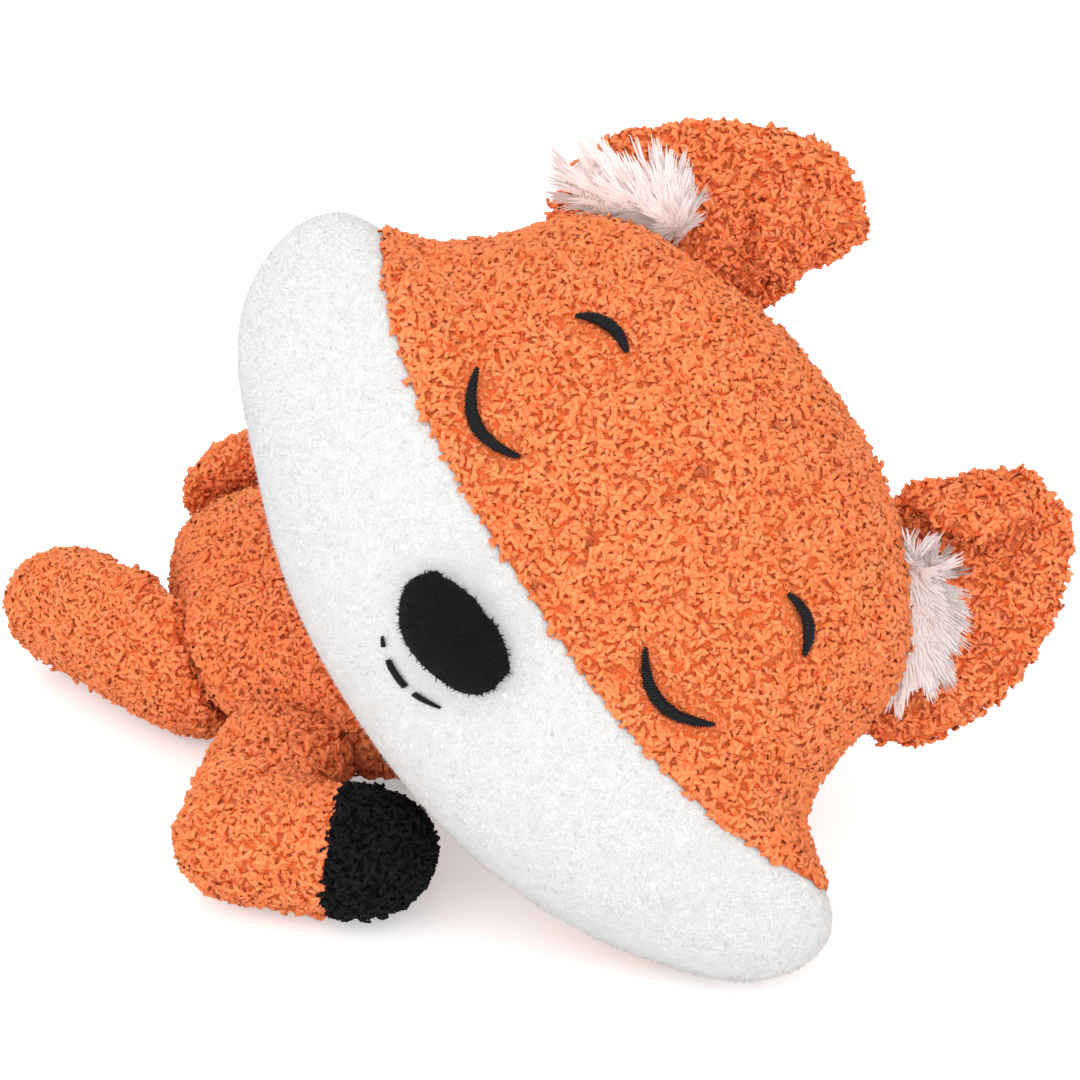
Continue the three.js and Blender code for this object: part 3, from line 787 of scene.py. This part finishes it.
def socket_for(sockets, name, kind):
    """The socket of a name for a kind of data, where a node has several of the name."""
    held = {"FLOAT": "VALUE", "INT": "INT", "FLOAT_VECTOR": "VECTOR"}[kind]
    return next(socket for socket in sockets if socket.name == name and socket.type == held)


def random_value(tree, kind, low, high, seed):
    """A random number, whole number or vector for each point."""
    node = wired(tree, "FunctionNodeRandomValue", {"data_type": kind}, Seed=seed)
    socket_for(node.inputs, "Min", kind).default_value = low
    socket_for(node.inputs, "Max", kind).default_value = high
    return socket_for(node.outputs, "Value", kind)


def stored(tree, kind, points, name, value):
    """Points that keep a value under a name."""
    return wired(
        tree, "GeometryNodeStoreNamedAttribute", {"data_type": kind, "domain": "POINT"},
        Geometry=points, Name=name, Value=value,
    ).outputs[0]


def shape_of(tree, piece):
    """An object's shape."""
    return wired(tree, "GeometryNodeObjectInfo", Object=piece).outputs["Geometry"]


def kept_clear(tree, points, girth, other, room, shy):
    """Leaves out the points in the room around another piece, and shrinks those that are a little further."""
    near = wired(tree, "GeometryNodeProximity", {"target_element": "FACES"})
    plug(near.inputs[0], shape_of(tree, other))
    distance = near.outputs["Distance"]
    close = wired(
        tree, "FunctionNodeCompare", {"data_type": "FLOAT", "operation": "LESS_THAN"}, A=distance, B=room
    )
    kept = wired(
        tree, "GeometryNodeDeleteGeometry", {"domain": "POINT"}, Geometry=points, Selection=close.outputs[0]
    )
    if shy:
        girth = maths(tree, "MULTIPLY", girth, ranged(tree, distance, room, room + shy, SHY_SIZE))
    return kept.outputs[0], girth


def combed(tree, facing):
    """Turns strands the way that the cover's lay attribute points."""
    lay = wired(tree, "GeometryNodeInputNamedAttribute", {"data_type": "FLOAT_VECTOR"}, Name="lay")
    return wired(
        tree, "FunctionNodeAlignRotationToVector", {"axis": "X", "pivot_axis": "Z"},
        Rotation=facing, Vector=lay.outputs["Attribute"],
    ).outputs["Rotation"]


def grow(base, name, shapes, spacing, seed, finish, lean=25, size=(0.8, 1.25), lay=False, clear=(), room=0.0,
         shy=0.0, even=0.3, lump=0.0):
    """Strands of some shapes, which are deleted, spread evenly where a cover's grow attribute is above zero."""
    tree = bpy.data.node_groups.new(name, "GeometryNodeTree")
    tree.interface.new_socket("Geometry", in_out="INPUT", socket_type="NodeSocketGeometry")
    tree.interface.new_socket("Geometry", in_out="OUTPUT", socket_type="NodeSocketGeometry")
    share = wired(tree, "GeometryNodeInputNamedAttribute", {"data_type": "FLOAT"}, Name="grow")
    spread = wired(
        tree, "GeometryNodeDistributePointsOnFaces", {"distribute_method": "POISSON"},
        Mesh=tree.nodes.new("NodeGroupInput").outputs[0], Distance_Min=spacing,
        Density_Max=POINTS_PER_SPACING / spacing**2, Density_Factor=share.outputs["Attribute"], Seed=seed,
    )
    points = spread.outputs["Points"]
    girth = random_value(tree, "FLOAT", *size, seed + 4)
    for other in clear:
        points, girth = kept_clear(tree, points, girth, other, room, shy)
    lumps = wired(tree, "ShaderNodeTexNoise", Scale=LUMP_SCALE).outputs["Fac"]
    girth = maths(tree, "MULTIPLY", girth, ranged(tree, lumps, 0.3, 0.7, 1 - lump, 1 + lump))

    facing = spread.outputs["Rotation"]
    if lay:
        facing = combed(tree, facing)
    spin = 0.5 if lay else math.pi
    tilt = math.radians(lean)
    angles = random_value(tree, "FLOAT_VECTOR", (-tilt, -tilt, -spin), (tilt, tilt, spin), seed + 1)
    turned = wired(
        tree, "FunctionNodeRotateRotation", {"rotation_space": "LOCAL"},
        Rotation=facing, Rotate_By=wired(tree, "FunctionNodeEulerToRotation", Euler=angles).outputs[0],
    )
    points = stored(tree, "FLOAT", points, "strand", random_value(tree, "FLOAT", 0.0, 1.0, seed + 2))
    points = stored(tree, "FLOAT_VECTOR", points, "facing", spread.outputs["Normal"])

    choice = tree.nodes.new("GeometryNodeGeometryToInstance")
    for shape in shapes:
        plug(choice.inputs[0], shape_of(tree, shape))
    planted = wired(
        tree, "GeometryNodeInstanceOnPoints",
        Points=points, Instance=choice.outputs[0], Pick_Instance=True,
        Instance_Index=random_value(tree, "INT", 0, len(shapes) - 1, seed + 3),
        Rotation=turned.outputs[0], Scale=girth,
    )
    real = wired(tree, "GeometryNodeRealizeInstances", Geometry=planted.outputs[0])
    plug(tree.nodes.new("NodeGroupOutput").inputs[0], real.outputs[0])

    strands = linked(name, base.data.copy())
    strands.modifiers.new("strands", "NODES").node_group = tree
    settle(strands)
    bpy.data.node_groups.remove(tree)
    removed(*shapes)
    edited(strands, on_floor)
    return evened(smooth_shaded(strands, finish), even)


def evened(strands, share):
    """Turns the strands' normals towards those of the cover they grow on, so that they shade as one pile."""
    mesh = strands.data
    facing = mesh.attributes["facing"]
    normals = [
        own.vector.lerp(cover.vector, share).normalized()
        for own, cover in zip(mesh.vertex_normals, facing.data)
    ]
    mesh.normals_split_custom_set_from_vertices(normals)
    mesh.attributes.remove(facing)
    return strands


def surface_of(*pieces):
    """A finder of the surface of some objects."""
    form = loaded(*pieces)
    finder = BVHTree.FromBMesh(form)
    form.free()
    return finder


def buried_by(spots, nodes, depth):
    """Whether each spot lies inside one of the named nodes by more than a depth."""
    finders = [surface_of(solid) for solid in solids(*nodes)]

    def deep_in(finder, spot):
        place, normal, _, distance = finder.find_nearest(spot)
        return distance > depth and (spot - place).dot(normal) < -INWARDS * distance

    return [any(deep_in(finder, spot) for finder in finders) for spot in spots]


def mark_growth(cover, share=lambda vert: 1.0):
    """Marks how thickly a cover's strands grow at each vertex."""
    attribute = cover.data.attributes.get("grow") or cover.data.attributes.new("grow", "FLOAT", "POINT")
    attribute.data.foreach_set("value", [share(vert) for vert in cover.data.vertices])


def middle_of(nodes):
    """The middle of some nodes' vertices."""
    spots = [vert.co for solid in solids(*nodes) for vert in solid.data.vertices]
    return sum(spots, Vector()) / len(spots)


# Finishing a cover


CLOTHS = {
    "orange_boucle": ("orange ground", "orange yarn"),
    "black_boucle": ("black ground", "black yarn"),
}


def riding(body):
    """Makes pieces ride on a body."""
    return lambda piece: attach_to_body(piece, body)


def bending(joint, nodes, before, after):
    """Bakes pieces' placement into their meshes, without bending them at the joint; before and after are not
    used.
    """
    hinge = JOINTS[joint]
    pivot, axis = Vector(hinge["pos_m"]), Vector(hinge["axis"])
    out = middle_of(nodes) - pivot
    out = (out - axis * out.dot(axis)).normalized()
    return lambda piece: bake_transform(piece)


def beyond(place, normal, sign):
    """A test for spots on one side of a plane."""
    return lambda spot: (spot - place).dot(normal) * sign > 0


def finished(piece, node, look, attach, strands=()):
    """Gives a piece its cloth's thickness where it is open, its material and its place in the frame."""
    if is_open(piece):
        wall = piece.modifiers.new("cloth", "SOLIDIFY")
        wall.thickness = sizes().cloth_thickness
        wall.offset = -1
        settle(piece)
    smooth_shaded(piece, look)
    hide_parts(node)
    for part in (piece, *strands):
        attach(part)


def dressed(cover, node, attach, seed, slot="orange_boucle", hidden=(), depth=BURIED_DEPTH, clear=(),
            room=1.2 * MM, shy=0.0, spacing=None, split=None, even=0.45):
    """Finishes a boucle cover: curls, thickness, material, and its place in the frame."""
    ground, yarn = CLOTHS[slot]
    buried = buried_by([vert.co for vert in cover.data.vertices], hidden, depth)
    parts = {"curls": lambda spot: True}
    if split:
        parts = {"curls_left": beyond(*split, 1), "curls_right": beyond(*split, -1)}
    curls = []
    for part, within in parts.items():

        def share(vert):
            if buried[vert.index] or not within(vert.co):
                return 0.0
            return UNDER_SIDE_SHARE if vert.co.z < UNDER_SIDE else 1.0

        mark_growth(cover, share)
        curls.append(grow(
            cover, f"{cover.name}_{part}", curl_shapes(), spacing or sizes().curl_spacing, seed, yarn,
            clear=clear, room=room, shy=shy, even=even, lump=CURL_LUMPS,
        ))
    finished(cover, node, ground, attach, curls)


def piled(cover, node, slot, name, shapes, spacing, seed, finish, ground, **growth):
    """Finishes a short-pile cover of the head: pile, thickness, material, and its place in the frame."""
    mark_growth(cover)
    pile = grow(cover, name, shapes, spacing, seed, finish, 30, **growth)
    finished(cover, node, ground, riding("head"), [pile])


def wadding(node, attach, voxel=LIMB_VOXEL, slim=FILLING_DEPTH, pulls=()):
    """The loose fibre that fills a cover, tucked with it."""
    fibre = cover_form(f"{node}_wad", [node], voxel, 2, slim)
    tucked(fibre, pulls)
    edited(fibre, on_floor)
    finished(fibre, node, "fibre", attach)


# The pieces


class FoxTorso(bpy.types.Operator):
    """The torso's back and belly, sewn along a side seam."""

    bl_idname = "fox.torso"
    bl_label = "Torso"

    def execute(self, context):
        form = cover_form("torso_form", ["torso_back_cover", "torso_belly_cover", "torso_filling"], BODY_VOXEL)

        def held(spot):
            return abs(spot.z - SIDE_SEAM_HEIGHT) < SEAM_HOLD or spot.z < FLOOR_HOLD

        stuffed(form, sizes().swell_reach, TORSO_PULLS, held=held)
        seam = Vector((0, 0, SIDE_SEAM_HEIGHT))
        back = cut_away(form, "torso_back", seam, -UP)
        belly = cut_away(form, "torso_belly", seam, UP)
        removed(form)
        dressed(
            back, "torso_back_cover", riding("torso"), 10, hidden=SEWN_ON_TORSO, depth=SEWN_DEPTH,
            clear=solids("neck_cover"), room=2 * MM, shy=5 * MM,
            split=(middle_of(["torso_back_cover"]), -ACROSS),
        )
        dressed(
            belly, "torso_belly_cover", riding("torso"), 20, hidden=SEWN_ON_TORSO, depth=SEWN_DEPTH,
            spacing=sizes().hidden_curl_spacing,
        )
        wadding("torso_filling", riding("torso"), pulls=TORSO_PULLS)
        return {"FINISHED"}


class FoxNeck(bpy.types.Operator):
    """The stuffed neck between the torso and the head."""

    bl_idname = "fox.neck"
    bl_label = "Neck"

    def execute(self, context):
        form = cover_form("neck", ["neck_cover", "neck_filling"], LIMB_VOXEL, 3)
        dressed(
            form, "neck_cover", riding("neck"), 30, hidden=["torso_filling", "head_filling"],
            clear=solids("torso_back_cover", "head_back_cover"), room=4 * MM, shy=6 * MM,
            spacing=sizes().hidden_curl_spacing,
        )
        wadding("neck_filling", riding("neck"))
        return {"FINISHED"}


def seam_bend(spot):
    """How far the face's lower seam lies from a level plane, at a place on the head."""
    inside = HEAD_FRAME.inverted() @ spot
    height = SEAM_RISE * (abs(inside.x) / SEAM_REACH) ** SEAM_POWER - SEAM_DROP
    return FACE_UP * height


class FoxHead(bpy.types.Operator):
    """The head's face, muzzle and back."""

    bl_idname = "fox.head"
    bl_label = "Head"

    def execute(self, context):
        covers = ["head_face_cover", "head_muzzle_cover", "head_back_cover", "head_filling"]
        form = cover_form("head_form", covers, BODY_VOXEL)
        stuffed(form, sizes().swell_reach, HEAD_PULLS, HEAD_FRAME)
        centre = HEAD_FRAME.translation
        seam = centre - FACE_OUT * BACK_SEAM_DEPTH
        front = cut_away(form, "head_front", seam, -FACE_OUT)
        back = cut_away(form, "head_back", seam, FACE_OUT)
        face = cut_away(front, "head_face", centre, -FACE_UP, seam_bend)
        muzzle = cut_away(front, "head_muzzle", centre, FACE_UP, seam_bend)
        removed(form, front)
        dressed(
            face, "head_face_cover", riding("head"), 40, clear=solids(*FACE_STITCHES), room=0.9 * MM,
            shy=5.5 * MM, split=(centre, FACE_ACROSS),
        )
        dressed(
            back, "head_back_cover", riding("head"), 50, hidden=["neck_filling"], depth=NAPE_DEPTH,
            clear=solids("head_muzzle_cover", "neck_cover"), room=2 * MM, shy=6 * MM,
            spacing=sizes().hidden_curl_spacing,
        )
        piled(
            muzzle, "head_muzzle_cover", "white_plush", "head_muzzle_pile",
            pile_shapes(sizes().pile_length, MUZZLE_PILE_THICKNESS, 42), sizes().pile_spacing, 60,
            "white pile", "white ground", clear=solids("mouth_stitch"), room=0.4 * MM, even=1.0,
        )
        wadding("head_filling", riding("head"))
        return {"FINISHED"}


def arc_through(first, middle, last, count):
    """Places on a smooth arc through three points, with the arc's direction at each."""
    top = middle * 2 - (first + last) / 2
    places = []
    for i in range(count):
        t = i / (count - 1)
        spot = first * (1 - t) ** 2 + top * 2 * t * (1 - t) + last * t**2
        way = (top - first) * (1 - t) + (last - top) * t
        places.append((spot, way.normalized()))
    return places


def laid_on(finder, spot):
    """Where a spot of a line lies on the face, and which way the face looks there."""
    place = finder.ray_cast(HEAD_FRAME @ Vector((*spot, 0.1)), -FACE_OUT)[0]
    near = finder.find_nearest_range(place, STITCH_REACH)
    return place, sum((found[1] for found in near), Vector()).normalized()


def thread_size(i, share, wide):
    """A thread's half sizes: narrower and lower at the line's ends, and a little uneven."""
    belly = math.sin(math.pi * share)
    uneven = 1 + 0.07 * math.sin(i * 2.4) + 0.05 * math.sin(i * 0.9)
    girth = wide * (0.36 + 0.64 * belly**0.6) * uneven
    return Matrix.Diagonal((girth, THREAD_HALF_LENGTH, STITCH_HEIGHT * (0.5 + 0.5 * belly**0.5), 1))


def satin(name, node, shares, side, finder, wide=STITCH_HALF_WIDTH, lift=STITCH_LIFT, gaps=()):
    """A satin stitch: threads laid side by side across a line on the face."""
    points = [Vector((across * HEAD_HALF_WIDTH * side, up * HEAD_HEIGHT)) for across, up in shares]
    count = int((points[-1] - points[0]).length / THREAD_SPACING)
    line = arc_through(*points, count)
    laid = [laid_on(finder, spot) for spot, _ in line]
    slant = Matrix.Rotation(THREAD_SLANT, 4, "Z")
    form = bmesh.new()
    for i, (_, way) in enumerate(line):
        share = i / (count - 1)
        if any(low < share < high for low, high in gaps):
            continue
        around = range(i - THREAD_EVENING, i + THREAD_EVENING + 1)
        beside = [laid[min(max(j, 0), count - 1)] for j in around]
        normal = sum((looks for _, looks in beside), Vector()).normalized()
        height = sum((place - laid[i][0]).dot(FACE_OUT) for place, _ in beside) / len(beside)
        along = (HEAD_FRAME.to_3x3() @ Vector((*way, 0))).normalized()
        across = normal.cross(along).normalized()
        stance = Matrix((across, across.cross(normal), normal)).transposed().to_4x4()
        stance.translation = laid[i][0] + FACE_OUT * height + normal * lift
        thread = bmesh.ops.create_uvsphere(form, u_segments=8, v_segments=6, radius=1)["verts"]
        bmesh.ops.transform(form, matrix=stance @ slant @ thread_size(i, share, wide), verts=thread)
    finished(put_in_scene(name, form), node, "thread", riding("head"))


class FoxFace(bpy.types.Operator):
    """The padded nose and the stitched eyes, brows and mouth."""

    bl_idname = "fox.face"
    bl_label = "Nose and stitches"

    def execute(self, context):
        finder = surface_of(*(bpy.data.objects[name] for name in ("head_face", "head_muzzle")))
        satin(
            "mouth_satin", "mouth_stitch", MOUTH_SHARES, 1, finder, MOUTH_HALF_WIDTH, MOUTH_LIFT, MOUTH_GAPS
        )
        for side, turn in (("left", 1), ("right", -1)):
            satin(f"eye_{side}_satin", f"eye_stitch_{side}", EYE_SHARES, turn, finder)
            satin(f"brow_{side}_satin", f"brow_stitch_{side}", BROW_SHARES, turn, finder)

        nose = cover_form("nose", ["nose_cover", "nose_padding"], NOSE_VOXEL, 4, -NOSE_GROWTH)
        stuffed(nose, NOSE_SWELL, NOSE_PULLS, HEAD_FRAME)
        piled(
            nose, "nose_cover", "black_velboa", "nose_nap",
            pile_shapes(sizes().nap_length, NAP_THICKNESS, 45), NAP_SPACING, 70, "nose nap", "nose ground",
            size=(0.6, 1.3), even=0.5,
        )
        wadding("nose_padding", riding("head"), NOSE_VOXEL, NOSE_FILLING_DEPTH)
        return {"FINISHED"}


def panel_form(name, node, pulls):
    """A smooth copy of an ear's panel or pad, pulled as handling has."""
    return tucked(subdivided(put_in_scene(name, welded(node)), 2), pulls, HEAD_FRAME)


def ear(side, seed):
    """An ear's two panels and its tuft of long pile."""
    front, back, tuft = (f"ear_{side}_{part}" for part in ("front_panel", "back_panel", "tuft"))
    joint = f"ear_{side}_flop"
    attach = bending(joint, [front, back], *EAR_BEND)
    panels = [panel_form(node.replace("_panel", ""), node, EAR_PULLS[side]) for node in (front, back)]
    for node, panel, other, step in ((front, *panels, 0), (back, *reversed(panels), 10)):
        dressed(
            panel, node, attach, seed + step, hidden=["head_filling"], clear=[other], room=0.9 * MM,
            even=0.2,
        )

    pad = panel_form(f"{tuft}_pad", tuft, TUFT_PULLS[side])
    middle = middle_of([tuft])
    out = (middle - Vector(JOINTS[joint]["pos_m"])).normalized()

    def share(vert):
        if vert.normal.dot(FACE_OUT) < 0:
            return 0.0
        return TUFT_THINNED if (vert.co - middle).dot(out) > 0 else 1.0

    mark_growth(pad, share)
    fan = pad.data.attributes.new("lay", "FLOAT_VECTOR", "POINT")
    root = middle - out * TUFT_FAN_DEPTH
    for vert in pad.data.vertices:
        fan.data[vert.index].vector = (vert.co - root).normalized()
    pile = grow(
        pad, f"{tuft}_pile", lock_shapes(), TUFT_SPACING, seed + 20, "tuft pile", 10, (0.65, 1.1), True,
        clear=[panels[0]], room=0.6 * MM, even=0.9,
    )
    # Fine pale pile lets light through
    pile.visible_shadow = False
    finished(pad, tuft, "tuft ground", attach, strands=[pile])


class FoxEars(bpy.types.Operator):
    """Both ears with their tufts."""

    bl_idname = "fox.ears"
    bl_label = "Ears"

    def execute(self, context):
        ear("left", 100)
        ear("right", 200)
        return {"FINISHED"}


def wrist_of(cover, paw):
    """The middle of the seam between a leg's cover and its paw."""
    leg, toe = solids(cover, paw)
    finder = surface_of(leg)
    near = [vert.co for vert in toe.data.vertices if finder.find_nearest(vert.co)[3] < WRIST_GAP]
    return sum(near, Vector()) / len(near)


def limb(name, joint, seed, paw=None, spacing=None):
    """A stuffed limb, with a paw of another cloth where it has one."""
    cover, filling = f"{name}_cover", f"{name}_filling"
    attach = bending(joint, [cover], *LIMB_BEND)
    pulls = LIMB_PULLS.get(name, ())
    leg = cover_form(name, [cover, filling, *([paw] if paw else [])], LIMB_VOXEL)
    if paw:
        form = leg
        wrist = wrist_of(cover, paw)
        normal = (middle_of([paw]) - wrist).normalized()
        stuffed(
            form, sizes().swell_reach, pulls, held=lambda spot: abs((spot - wrist).dot(normal)) < SEAM_HOLD
        )
        leg = cut_away(form, f"{name}_sleeve", wrist, normal)
        toe = cut_away(form, f"{name}_paw", wrist, -normal)
        removed(form)
    else:
        stuffed(leg, sizes().swell_reach, pulls)
    dressed(leg, cover, attach, seed, hidden=["torso_filling"], depth=SEWN_DEPTH, spacing=spacing)
    if paw:
        dressed(toe, paw, attach, seed + 5, slot="black_boucle", spacing=spacing)
    wadding(filling, attach, pulls=pulls)


class FoxLegs(bpy.types.Operator):
    """The four legs, the front two with black paws."""

    bl_idname = "fox.legs"
    bl_label = "Legs"

    def execute(self, context):
        for side, seed, spacing in (("left", 300, sizes().hidden_curl_spacing), ("right", 340, None)):
            front, hind = f"front_leg_{side}", f"hind_leg_{side}"
            limb(front, f"{front}_swing", seed, f"front_paw_{side}_cover", spacing)
            limb(hind, f"{hind}_swing", seed + 20, spacing=spacing)
        return {"FINISHED"}


class FoxTail(bpy.types.Operator):
    """The curled tail."""

    bl_idname = "fox.tail"
    bl_label = "Tail"

    def execute(self, context):
        limb("tail", "tail_lift", 400)
        return {"FINISHED"}


def put_aimed(data, place, way):
    """A lamp or the camera at a place, looking along a way."""
    holder = linked(data.name, data)
    holder.location = place
    holder.rotation_euler = way.to_track_quat("-Z", "Y").to_euler()
    return holder


class FoxStage(bpy.types.Operator):
    """The floor, the lights and the camera."""

    bl_idname = "fox.stage"
    bl_label = "Stage"

    def execute(self, context):
        scene = context.scene
        form = bmesh.new()
        bmesh.ops.create_grid(form, x_segments=1, y_segments=1, size=FLOOR_HALF_SIZE)
        floor = put_in_scene("floor", form)
        floor.data.materials.append(floor_material("pale floor"))
        floor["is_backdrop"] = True

        scene.view_settings.view_transform = "Standard"
        world = scene.world or bpy.data.worlds.new("studio")
        scene.world = world
        world.use_nodes = True
        plugged(world.node_tree.nodes["Background"], Color=(1, 1, 1, 1), Strength=SKY_STRENGTH)
        for name, place, energy, size in LAMPS:
            lamp = bpy.data.lights.new(name, "AREA")
            lamp.energy = energy
            lamp.size = size
            put_aimed(lamp, place, LAMP_TARGET - Vector(place))

        back = Vector((
            math.sin(CAMERA_AZIMUTH) * math.cos(CAMERA_ELEVATION),
            -math.cos(CAMERA_AZIMUTH) * math.cos(CAMERA_ELEVATION),
            math.sin(CAMERA_ELEVATION),
        ))
        camera = bpy.data.cameras.new("camera")
        camera.lens = CAMERA_LENS
        camera.sensor_width = SENSOR_WIDTH
        scene.camera = put_aimed(camera, CAMERA_TARGET + back * CAMERA_DISTANCE, -back)
        return {"FINISHED"}


class FoxPanel(bpy.types.Panel):
    """Lists the toy's operators, sizes and colours."""

    bl_idname = "VIEW3D_PT_fox"
    bl_label = "Sleeping Plush Fox"
    bl_space_type = "VIEW_3D"
    bl_region_type = "UI"
    bl_category = "Fox"

    def draw(self, context):
        for operator in PIECES:
            self.layout.operator(operator.bl_idname)
        for group in (context.scene.fox_sizes, context.scene.fox_colours):
            for name in group.__annotations__:
                self.layout.prop(group, name)


PIECES = (FoxStage, FoxTorso, FoxNeck, FoxHead, FoxFace, FoxEars, FoxLegs, FoxTail)
CLASSES = (FoxSizes, FoxColours, *PIECES, FoxPanel)


def register():
    """Registers the classes and the scene's settings."""
    for cls in CLASSES:
        bpy.utils.register_class(cls)
    bpy.types.Scene.fox_sizes = PointerProperty(type=FoxSizes)
    bpy.types.Scene.fox_colours = PointerProperty(type=FoxColours)


def unregister():
    """Removes the settings and the classes."""
    del bpy.types.Scene.fox_colours
    del bpy.types.Scene.fox_sizes
    for cls in reversed(CLASSES):
        bpy.utils.unregister_class(cls)


def main():
    """Builds every piece."""
    register()
    bpy.ops.fox.stage()
    bpy.ops.fox.torso()
    bpy.ops.fox.neck()
    bpy.ops.fox.head()
    bpy.ops.fox.face()
    bpy.ops.fox.ears()
    bpy.ops.fox.legs()
    bpy.ops.fox.tail()
    [[list(corner) for corner in box] for box in (CAD_BOX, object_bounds())]


if __name__ == "__main__":
    main()
